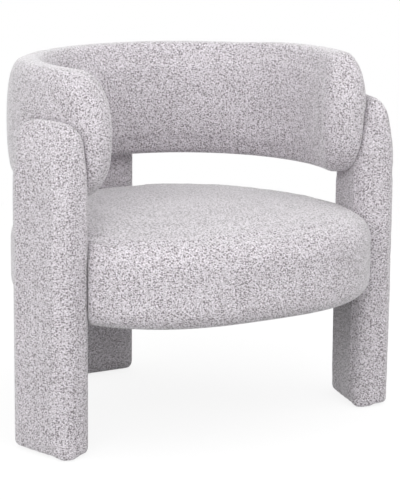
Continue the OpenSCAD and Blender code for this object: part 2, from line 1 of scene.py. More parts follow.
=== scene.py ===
import math
import bmesh
import bpy
import numpy as np
from mathutils import Matrix, Vector


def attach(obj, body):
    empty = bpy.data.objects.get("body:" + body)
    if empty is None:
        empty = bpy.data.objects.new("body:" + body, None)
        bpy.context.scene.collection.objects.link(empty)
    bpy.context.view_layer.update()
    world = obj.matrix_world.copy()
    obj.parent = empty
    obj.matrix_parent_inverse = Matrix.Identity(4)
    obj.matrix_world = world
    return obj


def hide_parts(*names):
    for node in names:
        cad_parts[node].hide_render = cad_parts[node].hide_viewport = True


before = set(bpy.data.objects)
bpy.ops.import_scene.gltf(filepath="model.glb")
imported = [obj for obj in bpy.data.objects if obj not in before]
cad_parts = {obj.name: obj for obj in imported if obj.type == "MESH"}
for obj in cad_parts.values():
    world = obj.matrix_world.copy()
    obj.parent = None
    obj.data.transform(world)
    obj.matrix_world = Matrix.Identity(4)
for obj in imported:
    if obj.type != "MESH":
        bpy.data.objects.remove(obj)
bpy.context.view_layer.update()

# Legs.
# Three upright slabs: a timber and plywood frame wrapped in foam, in a cover that is pulled down
# like a sock. Each thins to a round ridge at the top. The hem is folded under the foot, and lies
# thick round one front corner of both side legs.
tub_middle = np.array([0.0, -0.046205])
leg_top = 0.624
leg_width = 0.155
leg_thickness = 0.077
leg_edge = 0.030
leg_edge_share = 0.97
leg_corner_width = 0.056
leg_corner_height = 0.040
leg_ridge_height = 0.136
leg_foot_edge = 0.006
leg_base = 0.004
leg_places = {"right": (-14.7, 0.368), "rear": (90.0, 0.361), "left": (194.7, 0.368)}
leg_side_steps, leg_corner_steps = (5, 18), 9
leg_foot_rings, leg_ridge_rings = 6, 46
leg_ring_step = 0.005
leg_voxel = 0.006
hem_height = 0.034
hem_square = 0.007
hem_rim = 0.011, 0.003
hem_fold_blend, hem_fold_turn = 0.005, 0.006
hem_fold_drop = 0.0036
hem_front, hem_front_rise = (0.020, 0.006), 0.0018
hem_rear_start, hem_rear_rise = -0.02, 0.0025
settle_frames = 20
doubles_reach = 0.00002
tiny = 1e-9


def quarter(share):
    """A quarter ellipse, which falls from 1 at 0 to 0 at 1."""
    return np.sqrt(np.clip(1 - np.asarray(share, float) ** 2, 0, 1))


def leg_sizes(z):
    """Half thickness, half width and edge radius of a leg at each height."""
    z = np.asarray(z, float)
    half_t = leg_thickness / 2 * quarter(np.clip((z - leg_top) / leg_ridge_height + 1, 0, 1))
    corner = 1 - quarter(np.clip((z - leg_top) / leg_corner_height + 1, 0, 1))
    half_w = leg_width / 2 - leg_corner_width * corner
    return half_t, half_w, np.minimum(leg_edge, leg_edge_share * half_t)


def ring_plan(side_steps, corner_steps):
    """Points of a rectangle with round corners, as shares of its straight sides and its corners."""
    plan = []
    for corner, (sx, sy) in enumerate(((1, 1), (-1, 1), (-1, -1), (1, -1))):
        for step in range(corner_steps + 1):
            a = math.radians(90 * (corner + step / corner_steps))
            plan.append((sx, sy, math.cos(a), math.sin(a)))
        ex, ey = ((-1, 1), (-1, -1), (1, -1), (1, 1))[corner]
        a = math.radians(90 * (corner + 1))
        for step in range(1, side_steps[corner % 2]):
            s = step / side_steps[corner % 2]
            plan.append((sx + (ex - sx) * s, sy + (ey - sy) * s, math.cos(a), math.sin(a)))
    return np.array(plan)


def ring_points(plan, half_x, half_y, edge):
    """That rectangle at its size: an array of X and Y."""
    return np.stack([plan[:, 0] * (half_x - edge) + plan[:, 2] * edge,
                     plan[:, 1] * (half_y - edge) + plan[:, 3] * edge], 1)


def new_piece(name, points, faces):
    """A mesh object at the origin, with its doubles merged and its faces turned outwards."""
    mesh = bpy.data.meshes.new(name)
    mesh.from_pydata([tuple(p) for p in points], [], faces)
    work = bmesh.new()
    work.from_mesh(mesh)
    bmesh.ops.remove_doubles(work, verts=work.verts, dist=doubles_reach)
    bmesh.ops.recalc_face_normals(work, faces=work.faces)
    work.to_mesh(mesh)
    work.free()
    mesh.shade_smooth()
    piece = bpy.data.objects.new(name, mesh)
    bpy.context.scene.collection.objects.link(piece)
    return piece


def lofted(name, rings):
    """A closed skin through rings with as many points each."""
    count = len(rings[0])
    points = np.concatenate(rings)
    faces = [tuple(range(count)), tuple(range((len(rings) - 1) * count, len(rings) * count))]
    for k in range(len(rings) - 1):
        for i in range(count):
            j = (i + 1) % count
            faces.append((k * count + i, k * count + j, (k + 1) * count + j, (k + 1) * count + i))
    return new_piece(name, points, faces)


def at_leg(points, side):
    """Puts points from a leg's own frame, X outward and Y across, at its place."""
    turn, reach = leg_places[side]
    a = math.radians(turn)
    x = points[:, 0] + reach
    y = points[:, 1]
    return np.stack([x * math.cos(a) - y * math.sin(a) + tub_middle[0],
                     x * math.sin(a) + y * math.cos(a) + tub_middle[1], points[:, 2]], 1)


def leg_rings():
    """The leg's rings in its own frame, from its foot to its ridge."""
    plan = ring_plan(leg_side_steps, leg_corner_steps)
    rings = []
    for a in np.radians(np.linspace(0, 90, leg_foot_rings)):
        drawn = leg_foot_edge * (1 - math.sin(a))
        ring = ring_points(plan, leg_thickness / 2 - drawn, leg_width / 2 - drawn, leg_edge - drawn)
        z = np.full(len(ring), leg_base + leg_foot_edge * (1 - math.cos(a)))
        rings.append(np.column_stack([ring, z]))
    low, high = leg_base + leg_foot_edge, leg_top - leg_ridge_height
    straight = np.linspace(low, high, int((high - low) / leg_ring_step) + 1)[1:]
    ridge_turn = np.radians(np.linspace(0, 90, leg_ridge_rings))
    ridge = high + leg_ridge_height * np.sin(ridge_turn)[1:]
    for z in np.concatenate([straight, ridge]):
        half_t, half_w, edge = leg_sizes(z)
        ring = ring_points(plan, half_t, half_w, edge)
        rings.append(np.column_stack([ring, np.full(len(ring), z)]))
    return rings


def remeshed(piece, voxel):
    """Gives the piece an even mesh of small squares."""
    step = piece.modifiers.new("even", "REMESH")
    step.mode = "VOXEL"
    step.voxel_size = voxel
    step.use_smooth_shade = True
    graph = bpy.context.evaluated_depsgraph_get()
    mesh = bpy.data.meshes.new_from_object(piece.evaluated_get(graph))
    piece.modifiers.clear()
    old = piece.data
    piece.data = mesh
    mesh.name = old.name
    bpy.data.meshes.remove(old)
    return piece


def get_points(piece):
    """The points of a piece, one row each."""
    co = np.empty(len(piece.data.vertices) * 3)
    piece.data.vertices.foreach_get("co", co)
    return co.reshape(-1, 3)


def set_points(piece, points):
    """Moves the points of a piece."""
    piece.data.vertices.foreach_set("co", np.ascontiguousarray(points, float).ravel())
    piece.data.update()


def get_normals(piece):
    """The outward direction at each point."""
    no = np.empty(len(piece.data.vertices) * 3)
    piece.data.vertices.foreach_get("normal", no)
    return no.reshape(-1, 3)


def step_up(value, low, high):
    """0 below low, 1 above high, and smooth between them."""
    share = np.clip((value - low) / (high - low), 0, 1)
    return share * share * (3 - 2 * share)


def hemmed(points, side):
    """The folded hem. The cloth is folded up thick at one front corner of each side leg, squares
    that corner and hangs nearly to the floor there, and is drawn up a little at the rear end."""
    turn, reach = leg_places[side]
    a = math.radians(turn)
    out = points.copy()
    outward = np.array((math.cos(a), math.sin(a)))
    ahead = np.array((-math.sin(a), math.cos(a))) * (-1 if math.cos(a) > 0 else 1)
    folded = np.array((ahead[1], -ahead[0]))
    p = points[:, :2] - tub_middle - outward * reach
    along, deep = p @ ahead, p @ folded
    half_w, half_t = leg_width / 2, leg_thickness / 2
    u = np.maximum(np.abs(along) - half_w + leg_edge, 0)
    v = np.maximum(np.abs(deep) - half_t + leg_edge, 0)
    far = np.hypot(u, v)
    rim = step_up(far, leg_edge - hem_rim[0], leg_edge - hem_rim[1])
    low = 1 - step_up(points[:, 2], leg_base, leg_base + hem_height)
    fold = step_up(along, half_w - leg_edge - hem_fold_blend, half_w - 2 * hem_fold_blend)
    fold *= step_up(deep, -hem_fold_turn, hem_fold_turn) * (side != "rear")
    front = step_up(along, half_w - hem_front[0], half_w - hem_front[1]) - fold
    rear = step_up(-along, hem_rear_start, half_w)
    rise = hem_front_rise * np.maximum(front, 0) - hem_fold_drop * fold + hem_rear_rise * rear
    out[:, 2] += low * rim * rise
    round_corner = np.sin(math.pi * np.arctan2(u, v + tiny) / (math.pi / 2))
    thick = low * rim * fold * hem_square * round_corner
    thick = (thick / np.maximum(far, tiny))[:, None]
    out[:, :2] += thick * (np.outer(u * np.sign(along), ahead)
                           + np.outer(v * np.sign(deep), folded))
    return out


class Socket:
    """One output of a node in a material. Python's operators add Math nodes."""

    def __init__(self, finish, socket):
        self.finish, self.socket = finish, socket

    def math(self, operation, *values):
        return self.finish.math_of(operation, *values)

    def __add__(self, other):
        return self.math("ADD", self, other)

    def __radd__(self, other):
        return self.math("ADD", other, self)

    def __sub__(self, other):
        return self.math("SUBTRACT", self, other)

    def __rsub__(self, other):
        return self.math("SUBTRACT", other, self)

    def __mul__(self, other):
        return self.math("MULTIPLY", self, other)

    def __rmul__(self, other):
        return self.math("MULTIPLY", other, self)

    def __truediv__(self, other):
        return self.math("DIVIDE", self, other)

    def __rtruediv__(self, other):
        return self.math("DIVIDE", other, self)

    def __pow__(self, other):
        return self.math("POWER", self, other)

    def __gt__(self, other):
        return self.math("GREATER_THAN", self, other)

    def __abs__(self):
        return self.math("ABSOLUTE", self)

    def smooth(self, low, high):
        """0 below low, 1 above high, and smooth between them."""
        return self.finish.node("ShaderNodeMapRange",
                                {"Value": self, "From Min": low, "From Max": high},
                                interpolation_type="SMOOTHSTEP")

    def pick(self, otherwise, chosen):
        """otherwise where this is 0, chosen where it is 1."""
        return otherwise + self * (chosen - otherwise)


class Finish:
    """A material that is being put together."""

    def __init__(self, name):
        self.material = bpy.data.materials.new(name)
        self.material.use_nodes = True
        self.tree = self.material.node_tree
        self.shader = self.tree.nodes["Principled BSDF"]

    def node(self, kind, inputs=None, out=0, **settings):
        """Adds a node with its settings, then its values and links, and returns one output."""
        node = self.tree.nodes.new(kind)
        for key, value in settings.items():
            setattr(node, key, value)
        for key, value in (inputs or {}).items():
            self.put(node.inputs[key], value)
        return Socket(self, node.outputs[out])

    def put(self, socket, value):
        """Links a socket to another one, or sets its value."""
        if isinstance(value, Socket):
            self.tree.links.new(value.socket, socket)
        else:
            socket.default_value = value

    def math_of(self, operation, *values):
        """A Math node."""
        return self.node("ShaderNodeMath", dict(enumerate(values)), operation=operation)

    def set(self, **values):
        """Sets or links sockets of the shader itself."""
        for key, value in values.items():
            self.put(self.shader.inputs[key.replace("_", " ")], value)

    def parts(self, vector):
        """X, Y and Z of a vector, as numbers."""
        split = self.node("ShaderNodeSeparateXYZ", {0: vector}).socket.node
        return [Socket(self, split.outputs[i]) for i in range(3)]

    def joined(self, x, y, z):
        """A vector from X, Y and Z."""
        return self.node("ShaderNodeCombineXYZ", {0: x, 1: y, 2: z})

    def blend(self, factor, low, high):
        """A colour between low and high."""
        return self.node("ShaderNodeMix", {0: factor, 6: low, 7: high}, out=2, data_type="RGBA")

    def noise(self, place, size, detail=2.0):
        """Soft noise with blots of about the given size."""
        return self.node("ShaderNodeTexNoise",
                         {"Vector": place, "Scale": 1 / size, "Detail": detail})

    def bump(self, height, depth, strength):
        """A normal that is raised by the height times the depth."""
        return self.node("ShaderNodeBump",
                         {"Height": height, "Strength": strength, "Distance": depth})


def colour(red, green, blue):
    """A colour as it is read off a screen, 0 to 255, for a socket."""
    def linear(c):
        c /= 255
        return c / 12.92 if c <= 0.04045 else ((c + 0.055) / 1.055) ** 2.4
    return linear(red), linear(green), linear(blue), 1.0


fabric_dark, fabric_light = colour(88, 80, 82), colour(248, 243, 249)
slub_size = 0.0054, 0.0022
tone_size = 0.0040, 0.0018
gap_size = 0.0056, 0.0042
gap_break_size = 0.0017, 0.0013
fibre_size, patch_size = 0.0009, 0.10
row_wander, row_wander_size = 0.004, 0.022
flat_from, flat_blur, flat_blur_size = 0.72, 0.3, 0.005
flat_row_share = 0.7
rib_turns = 5700.0
fabric_depth = 0.0012


def looped_fabric():
    """Thick looped weave: short pale slubs in level rows. A dark grey ground shows as dots in the
    gaps between the loops. The rows run level on upright faces, and from side to side on flat
    ones."""
    f = Finish("looped fabric")
    place = f.node("ShaderNodeTexCoord", out="Object")
    x, y, z = f.parts(place)
    nz = f.parts(f.node("ShaderNodeTexCoord", out="Normal"))[2]
    flat = (abs(nz) + (f.noise(place, flat_blur_size) - 0.5) * flat_blur) > flat_from
    wobble = (f.noise(place, row_wander_size, 1.0) - 0.5) * row_wander
    row = flat.pick(z, y * flat_row_share) + wobble
    rise = flat.pick(y, z)

    def rows(length, height):
        return f.joined(x / length, rise / length, row / height)

    def cells(size, randomness, feature):
        return f.node("ShaderNodeTexVoronoi",
                      {"Vector": rows(*size), "Scale": 1.0, "Randomness": randomness},
                      feature=feature)

    slub = cells(slub_size, 0.9, "DISTANCE_TO_EDGE").smooth(0.0, 0.22)
    tone = f.noise(rows(*tone_size), 1.0, 1.0)
    gaps = 1 - cells(gap_size, 0.8, "F1").smooth(0.165, 0.42)
    ground = 1 - (1 - gaps) * f.noise(rows(*gap_break_size), 1.0, 0.0).smooth(0.28, 0.52)
    ribs = f.math_of("SINE", row * rib_turns) * 0.5 + 0.5
    fibre = f.noise(place, fibre_size, 3.0)
    patch = f.noise(place, patch_size, 2.0)
    height = slub * (1 - ground * 0.85) + tone * 0.25 + fibre * 0.2
    loops = 0.62 + slub * 0.20 + (tone - 0.5) * 0.5
    light = loops * (1 - ground) + ground * (0.02 + ribs * 0.16)
    light = light + (fibre - 0.5) * 0.35 + (patch - 0.5) * 0.10
    f.set(Base_Color=f.blend(light.smooth(-0.1, 1.1), fabric_dark, fabric_light),
          Roughness=0.94 - slub * 0.06,
          Normal=f.bump(height, depth=fabric_depth, strength=0.5))
    f.set(Sheen_Weight=1.0, Sheen_Roughness=0.3, Specular_IOR_Level=0.25)
    return f.material


def dressed(piece, material):
    """Finishes a piece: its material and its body."""
    piece.data.materials.clear()
    piece.data.materials.append(material)
    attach(piece, "root")


def dressed_pad(piece):
    """Finishes a pad in its cover: one subdivision, and the chair's fabric."""
    finer = piece.modifiers.new("finer", "SUBSURF")
    finer.levels = finer.render_levels = 1
    dressed(piece, cover_fabric)


def settled(pieces, pressure=4.0, slack=-0.012, sink=0.0004, swell=0.003):
    """Cloth under a little pressure from inside. The covers are cut slightly full and fill out.
    The pad keeps its size: sink and swell are the most that a point moves in or out from it."""
    shapes = {}
    for piece in pieces:
        shapes[piece.name] = get_points(piece), get_normals(piece)
        cloth = piece.modifiers.new("cloth", "CLOTH")
        for key, value in dict(quality=4, mass=0.3, tension_stiffness=15, compression_stiffness=15,
                               shear_stiffness=6, bending_stiffness=0.8, shrink_min=slack,
                               use_pressure=True, uniform_pressure_force=pressure).items():
            setattr(cloth.settings, key, value)
        cloth.settings.effector_weights.gravity = 0
        cloth.collision_settings.use_collision = False
        cloth.point_cache.frame_start = 1
        cloth.point_cache.frame_end = settle_frames
    for number in range(1, settle_frames + 1):
        bpy.context.scene.frame_set(number)
    graph = bpy.context.evaluated_depsgraph_get()
    for piece in pieces:
        filled = np.empty(len(piece.data.vertices) * 3)
        piece.evaluated_get(graph).data.vertices.foreach_get("co", filled)
        start, out = shapes[piece.name]
        move = filled.reshape(-1, 3) - start
        rise = np.sum(move * out, 1, keepdims=True)
        across = move - out * rise
        rise -= np.median(rise)
        length = np.linalg.norm(across, axis=1, keepdims=True)
        across *= np.minimum(1, swell / np.maximum(length, tiny))
        piece.modifiers.clear()
        set_points(piece, start + across + out * np.clip(rise, -sink, swell))
    bpy.context.scene.frame_set(1)


cover_fabric = looped_fabric()
legs = {}
for side in leg_places:
    rings = [at_leg(ring, side) for ring in leg_rings()]
    legs[side] = remeshed(lofted(side + "_leg", rings), leg_voxel)
settled(legs.values())
for side, leg in legs.items():
    set_points(leg, hemmed(get_points(leg), side))
    dressed_pad(leg)
    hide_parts(side + "_leg_cover")

# Seat.
# The thick round seat: foam over webbing on a plywood ring frame, in one tight cover that is
# turned under the frame. It is flat where the legs are bolted against it.
seat_radius = 0.345
seat_back_shift = 0.011
seat_low = 0.244
seat_high = 0.402
seat_crown = 0.020
seat_low_edge = 0.037
seat_high_edge = 0.047
seat_waves = (-0.029, -0.034, -0.015)
seat_turn_step = 1.5
seat_low_rings, seat_side_rings, seat_high_rings, seat_top_rings = 10, 14, 12, 46
seat_voxel = 0.0065
seat_leg_gap = 0.0006
seat_lining_gap = 0.0002
press_blend = 0.004
widest_turn = 80
far_away = 9.0


def leg_limit(points, side, gap):
    """How far from the middle of the tub each point may lie before it meets that leg."""
    turn_to, reach = leg_places[side]
    p = points[:, :2] - tub_middle
    a = np.degrees(np.arctan2(p[:, 1], p[:, 0]))
    turn = np.radians(np.abs((a - turn_to + 540) % 360 - 180))
    half_t, half_w, edge = leg_sizes(points[:, 2])
    turn = np.minimum(turn, math.radians(widest_turn))
    flat = (reach - half_t - gap) / np.cos(turn)
    v = reach - half_t + edge
    u = half_w - edge
    off = v * np.sin(turn) - u * np.cos(turn)
    hold = edge + gap
    round_part = v * np.cos(turn) + u * np.sin(turn) - np.sqrt(np.maximum(hold ** 2 - off ** 2, 0))
    limit = np.where(np.abs(off) < hold, round_part, far_away)
    limit = np.where(flat * np.sin(turn) <= u, flat, limit)
    return np.where(points[:, 2] >= leg_top, far_away, limit)


def pressed_by_legs(points, gap, soft=0.0):
    """Pushes points in towards the middle of the tub, clear of the legs."""
    p = points[:, :2] - tub_middle
    reach = np.linalg.norm(p, axis=1)
    held = np.min([leg_limit(points, side, gap) for side in leg_places], axis=0)
    if soft:
        near = np.clip(0.5 + (held - reach) / (2 * soft), 0, 1)
        to = held + (reach - held) * near - soft * near * (1 - near)
        to = np.minimum(to, held)
    else:
        to = np.minimum(reach, held)
    out = points.copy()
    out[:, :2] = tub_middle + p * (to / np.maximum(reach, tiny))[:, None]
    return out


def seat_outline(a):
    """Distance of the seat's side from the middle of the tub, in directions given in degrees."""
    t = np.radians(a + 90)
    wave = 1 + sum(share * np.cos(k * t) for share, k in zip(seat_waves, (2, 3, 4)))
    return seat_radius * wave, seat_back_shift * np.sin(np.radians(a))


def seat_rings():
    """The seat's rings, from its underside up its side and in over its crown."""
    directions = np.arange(0, 360, seat_turn_step)
    reach, shift = seat_outline(directions)
    slope = math.atan(2 * seat_crown / (seat_radius - seat_high_edge))
    rings = []

    def ring(inset, z, share=1.0):
        r = (reach - inset) * share + shift
        rings.append(np.stack([r * np.cos(np.radians(directions)) + tub_middle[0],
                               r * np.sin(np.radians(directions)) + tub_middle[1],
                               np.full(len(directions), z)], 1))

    for a in np.radians(np.linspace(0, 90, seat_low_rings)):
        ring(seat_low_edge * (1 - math.sin(a)), seat_low + seat_low_edge * (1 - math.cos(a)))
    lift = seat_high_edge * math.cos(slope)
    side_low, side_high = seat_low + seat_low_edge, seat_high - lift
    for z in np.linspace(side_low, side_high, seat_side_rings)[1:-1]:
        ring(0.0, z)
    for a in np.linspace(0, math.pi / 2 - slope, seat_high_rings):
        ring(seat_high_edge * (1 - math.cos(a)), side_high + seat_high_edge * math.sin(a))
    rim = seat_high_edge * (1 - math.sin(slope))
    for share in np.linspace(1, 0, seat_top_rings)[1:-1]:
        ring(rim, seat_high + seat_crown * (1 - share ** 2), share)
    return rings


rings = [pressed_by_legs(ring, seat_leg_gap, press_blend) for ring in seat_rings()]
seat = remeshed(lofted("seat", rings), seat_voxel)
settled([seat])
seat_points = pressed_by_legs(get_points(seat), seat_leg_gap)
seat_points[:, 2] = np.maximum(seat_points[:, 2], seat_low + seat_lining_gap)
set_points(seat, seat_points)
dressed_pad(seat)
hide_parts("seat_cover")

# Band.
# The padded band round the back and arms: foam moulded on a bent plywood frame, in a tight cover.
# Its faces are crowned and its long edges are round. It is pressed flat against the legs, and
# both arms round off to a full lobe.
band_mid_radius = 0.3075
band_half_thickness = 0.0425
band_middle = 0.590
band_above = 0.1138
arm_rise = 0.007
band_below = 0.118
arm_wrap = 30.0
arm_round = 0.077
arm_rise_start = 0.75
arm_tip_turn, arm_tip_rings = (4, 90), 18
nose_share = 0.58
band_turn_step = 1.5
band_section_steps, band_edge_gather = 26, 1.7
band_full_above, band_full_below = 2.1, 2.6
band_edge_power = 0.25
band_voxel = 0.006
band_leg_gap = 0.0008


def band_section():
    """The section as shares of its half thickness and half height, up the outside and down the
    inside. Its points gather at the long edges."""
    share = np.linspace(-1, 1, 2 * band_section_steps + 1)
    gathered = 1 - (1 - np.abs(share)) ** band_edge_gather
    rise = np.sin(math.pi / 2 * np.sign(share) * gathered)
    fullness = np.where(rise > 0, band_full_above, band_full_below)
    thin = (1 - np.abs(rise) ** fullness) ** band_edge_power
    return np.concatenate([thin, -thin[-2:0:-1]]), np.concatenate([rise, rise[-2:0:-1]])


def band_rings(inset):
    """The band's rings from one arm round the back to the other, drawn in by inset."""
    thin_shares, rise_shares = band_section()
    round_turn = math.degrees((arm_round - inset) / band_mid_radius)
    start = -arm_wrap + math.degrees(inset / band_mid_radius)
    tip_turn = np.radians(np.linspace(*arm_tip_turn, arm_tip_rings))
    tip = start + round_turn * (1 - np.cos(tip_turn))
    half = np.concatenate([tip, np.arange(tip[-1], 90, band_turn_step)[1:]])
    rings = []
    for a in np.concatenate([half, [90.0], 180 - half[::-1]]):
        from_end = math.radians(min(a, 180 - a) - start) * band_mid_radius
        nose = quarter(max(0, 1 - from_end / (arm_round * nose_share - inset)))
        lobe = quarter(max(0, 1 - from_end / (arm_round - inset)))
        across = abs(math.cos(math.radians(a)))
        above = band_above + arm_rise * step_up(across, arm_rise_start, 1.0)
        r = band_mid_radius + thin_shares * nose * (band_half_thickness - inset)
        half_height = np.where(rise_shares > 0, above, band_below) - inset
        rings.append(np.stack([r * math.cos(math.radians(a)) + tub_middle[0],
                               r * math.sin(math.radians(a)) + tub_middle[1],
                               band_middle + rise_shares * lobe * half_height], 1))
    return rings


def band_form(name, inset, gap, voxel):
    """The band's form, drawn in by inset and held clear of the legs by gap."""
    rings = [pressed_by_legs(ring, gap, press_blend) for ring in band_rings(inset)]
    return remeshed(lofted(name, rings), voxel)


band = band_form("band", 0.0, band_leg_gap, band_voxel)
settled([band])
set_points(band, pressed_by_legs(get_points(band), band_leg_gap))
dressed_pad(band)
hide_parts("back_cover")

# Foam.
# Blocks and wraps of cut foam under every cover. The band's is moulded round its frame, and its
# crowned form is drawn here again, a cover's depth inside the cover.
cover_depth = 0.0035
band_foam_voxel = 0.010
foam_yellow, foam_pale = colour(224, 205, 156), colour(243, 232, 198)
foam_cells = 900.0


def foam_finish():
    """Open cells, with a little yellowing."""
    f = Finish("cut foam")
    place = f.node("ShaderNodeTexCoord", out="Object")
    cells = f.node("ShaderNodeTexVoronoi", {"Vector": place, "Scale": foam_cells})
    patch = f.noise(place, 0.06, 3.0)
    f.set(Base_Color=f.blend((patch * 0.7 + cells * 0.4).smooth(0.2, 0.9), foam_yellow, foam_pale),
          Roughness=0.98 - cells * 0.1,
          Normal=f.bump(cells, depth=0.0006, strength=0.6))
    return f.material


def give_finish(material, *names):
    """Puts a finish on CAD nodes."""
    for name in names:
        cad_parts[name].data.materials[0] = material


foam = foam_finish()
give_finish(foam, "seat_foam", *[side + "_leg_foam" for side in leg_places])
band_foam = band_form("band_foam", cover_depth, band_leg_gap + cover_depth, band_foam_voxel)
dressed(band_foam, foam)
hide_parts("back_foam")

# Seat frame.
# Two plywood rings with timber posts and bolt blocks glued between them, and packing blocks where
# the legs are pulled up against the seat.
veneer_pitch = 0.0028
plywood_dark, plywood_light = colour(186, 146, 98), colour(224, 196, 152)
timber_dark, timber_light = colour(160, 118, 72), colour(206, 168, 118)
ring_grain, post_grain = (9, 90, 90), (14, 110, 110)


def wood_finish(name, dark, light, stretch, layer=None):
    """Sawn wood: grain drawn out along one axis. layer gives the way through the veneers of
    plywood, which show in turn along its edges."""
    f = Finish(name)
    x, y, z = f.parts(f.node("ShaderNodeTexCoord", out="Object"))
    drawn = [part * rate for part, rate in zip((x, y, z), stretch)]
    grain = f.noise(f.joined(*drawn), 1.0, 4.0)
    streak = f.noise(f.joined(*[part * 5 for part in drawn]), 1.0, 2.0)
    tone = grain * 0.7 + streak * 0.3
    if layer:
        veneer = f.math_of("SINE", layer(x, y, z) * (2 * math.pi / veneer_pitch)) * 0.5 + 0.5
        tone = tone * 0.65 + veneer * 0.35
    f.set(Base_Color=f.blend(tone.smooth(0.25, 0.75), dark, light), Roughness=0.62 + streak * 0.2,
          Normal=f.bump(tone, depth=0.0004, strength=0.4))
    return f.material


level_plywood = wood_finish("plywood laid flat", plywood_dark, plywood_light, ring_grain,
                            lambda x, y, z: z)
timber_across = wood_finish("sawn timber", timber_dark, timber_light, post_grain)
give_finish(level_plywood, "seat_upper_ring", "seat_lower_ring")
give_finish(timber_across, "seat_posts", "seat_mount_blocks", "seat_packers")

# Webbing.
# Elastic straps over the upper ring, woven crosswise and lengthwise, with a dark thread near
# each edge.
strap_pitch = 0.105
strap_thread = 0.018
strap_rib, strap_warp = 0.0026, 0.0018
strap_dark, strap_light = colour(48, 44, 40), colour(132, 124, 112)


def webbing_finish(name, lengthwise):
    """Ribbed elastic strap. The threads are counted from the middle line of each strap."""
    f = Finish(name)
    x, y, _ = f.parts(f.node("ShaderNodeTexCoord", out="Object"))
    along = y if lengthwise else x
    across = x if lengthwise else y - tub_middle[1] - seat_back_shift
    off_middle = f.math_of("PINGPONG", across + strap_pitch / 2, strap_pitch / 2)
    thread = abs(off_middle - strap_thread).smooth(0.0008, 0.0016)
    rib = f.math_of("SINE", along * (2 * math.pi / strap_rib)) * 0.5 + 0.5
    warp = f.math_of("SINE", across * (2 * math.pi / strap_warp)) * 0.5 + 0.5
    height = rib * 0.6 + warp * 0.4
    light = (height * 0.6 + 0.3) * (thread * 0.8 + 0.2)
    f.set(Base_Color=f.blend(light, strap_dark, strap_light),
          Roughness=0.85 - rib * 0.1,
          Normal=f.bump(height, depth=0.0005, strength=0.6))
    return f.material


give_finish(webbing_finish("crosswise webbing", False), "webbing_crosswise")
give_finish(webbing_finish("lengthwise webbing", True), "webbing_lengthwise")

# Band frame.
# Two bent plywood rails with timber battens between them, closed by two thin bent panels, with
# bolt blocks and packing blocks behind the legs.
panel_grain, batten_grain = (60, 60, 9), (110, 110, 14)


def from_middle(x, y, z):
    """Distance from the upright line through the middle of the tub."""
    ahead = y - tub_middle[1]
    return (x * x + ahead * ahead) ** 0.5


bent_panels = wood_finish("bent panels", plywood_dark, plywood_light, panel_grain, from_middle)
timber_upright = wood_finish("sawn timber battens", timber_dark, timber_light, batten_grain)
give_finish(level_plywood, "back_lower_rail", "back_upper_rail")
give_finish(bent_panels, "back_inner_panel", "back_outer_panel")
give_finish(timber_upright, "back_uprights", "back_mount_blocks", "back_packers")

# Leg frames.
# Two plywood boards with timber stiles and cross rails glued between them, and packing blocks on
# the inner board where the seat and the band are bolted on.
board_grain = 90, 90, 9
for side, (turn, _) in leg_places.items():
    a = math.radians(turn)
    board = wood_finish(side + " leg boards", plywood_dark, plywood_light, board_grain,
                        lambda x, y, z, a=a: x * math.cos(a) + y * math.sin(a))
    give_finish(board, side + "_leg_inner_board", side + "_leg_outer_board")
    give_finish(timber_upright, side + "_leg_ribs", side + "_leg_packers")

# Bolts, washers and tee nuts.
# The bolts that hold the legs to the seat and the band, with their washers and tee nuts. They are
# zinc plated steel, a little blotched, with fine scratches from the spanner.
zinc_dull, zinc_bright = colour(150, 153, 156), colour(196, 198, 198)
scratch_rates = 900, 900, 6000


def plated_steel():
    """Dull and bright blots, and scratches drawn out level."""
    f = Finish("zinc plated steel")
    place = f.node("ShaderNodeTexCoord", out="Object")
    blotch = f.noise(place, 0.004, 3.0)
    drawn = [part * rate for part, rate in zip(f.parts(place), scratch_rates)]
    scratch = f.noise(f.joined(*drawn), 1.0, 2.0)
    f.set(Base_Color=f.blend(blotch, zinc_dull, zinc_bright), Metallic=1.0,
          Roughness=0.28 + blotch * 0.2 + scratch * 0.1,
          Normal=f.bump(scratch, depth=0.0001, strength=0.3))
    return f.material


steel = plated_steel()
give_finish(steel, "seat_bolts", "back_bolts", "washers", "tee_nuts")

# Glides.
# Moulded nylon discs, two under each leg, nailed up through the hem of its cover. Their undersides
# are scuffed pale.
nylon_dark, nylon_scuffed = colour(44, 44, 46), colour(128, 126, 122)
scuff_height = 0.0010


def moulded_nylon():
    """Fine moulded grain, scuffed where the glide stands on the floor."""
    f = Finish("moulded nylon")
    place = f.node("ShaderNodeTexCoord", out="Object")
    grain = f.noise(place, 0.0007, 3.0)
    above = f.parts(place)[2] + (f.noise(place, 0.002, 2.0) - 0.5) * 0.001
    worn = 1 - above.smooth(0.0, scuff_height)
    f.set(Base_Color=f.blend(worn * 0.6 + grain * 0.15, nylon_dark, nylon_scuffed),
          Roughness=0.42 + grain * 0.12 + worn * 0.25,
          Normal=f.bump(grain, depth=0.0002, strength=0.4))
    return f.material


give_finish(moulded_nylon(), "glides")

# Dust cloth.
# Thin felted cloth that closes the seat from below. It is cut round to the seat, stapled over the
# hem of the seat cover, and hangs a little between its staples.
dust_top = 0.2438
dust_inset = seat_low_edge + 0.008
dust_leg_gap = 0.0189
dust_thickness = 0.0006
dust_sag, dust_sag_power = 0.004, 0.8
dust_turn_step = 2.0
dust_edge_drop, dust_edge_place, dust_edge_width = 0.0010, 0.99, 0.05
staple_pitch = 0.036
lining_dark, lining_light = colour(30, 30, 32), colour(66, 65, 66)
felt_rates = 900, 2600, 900
weld_turns = 2600.0


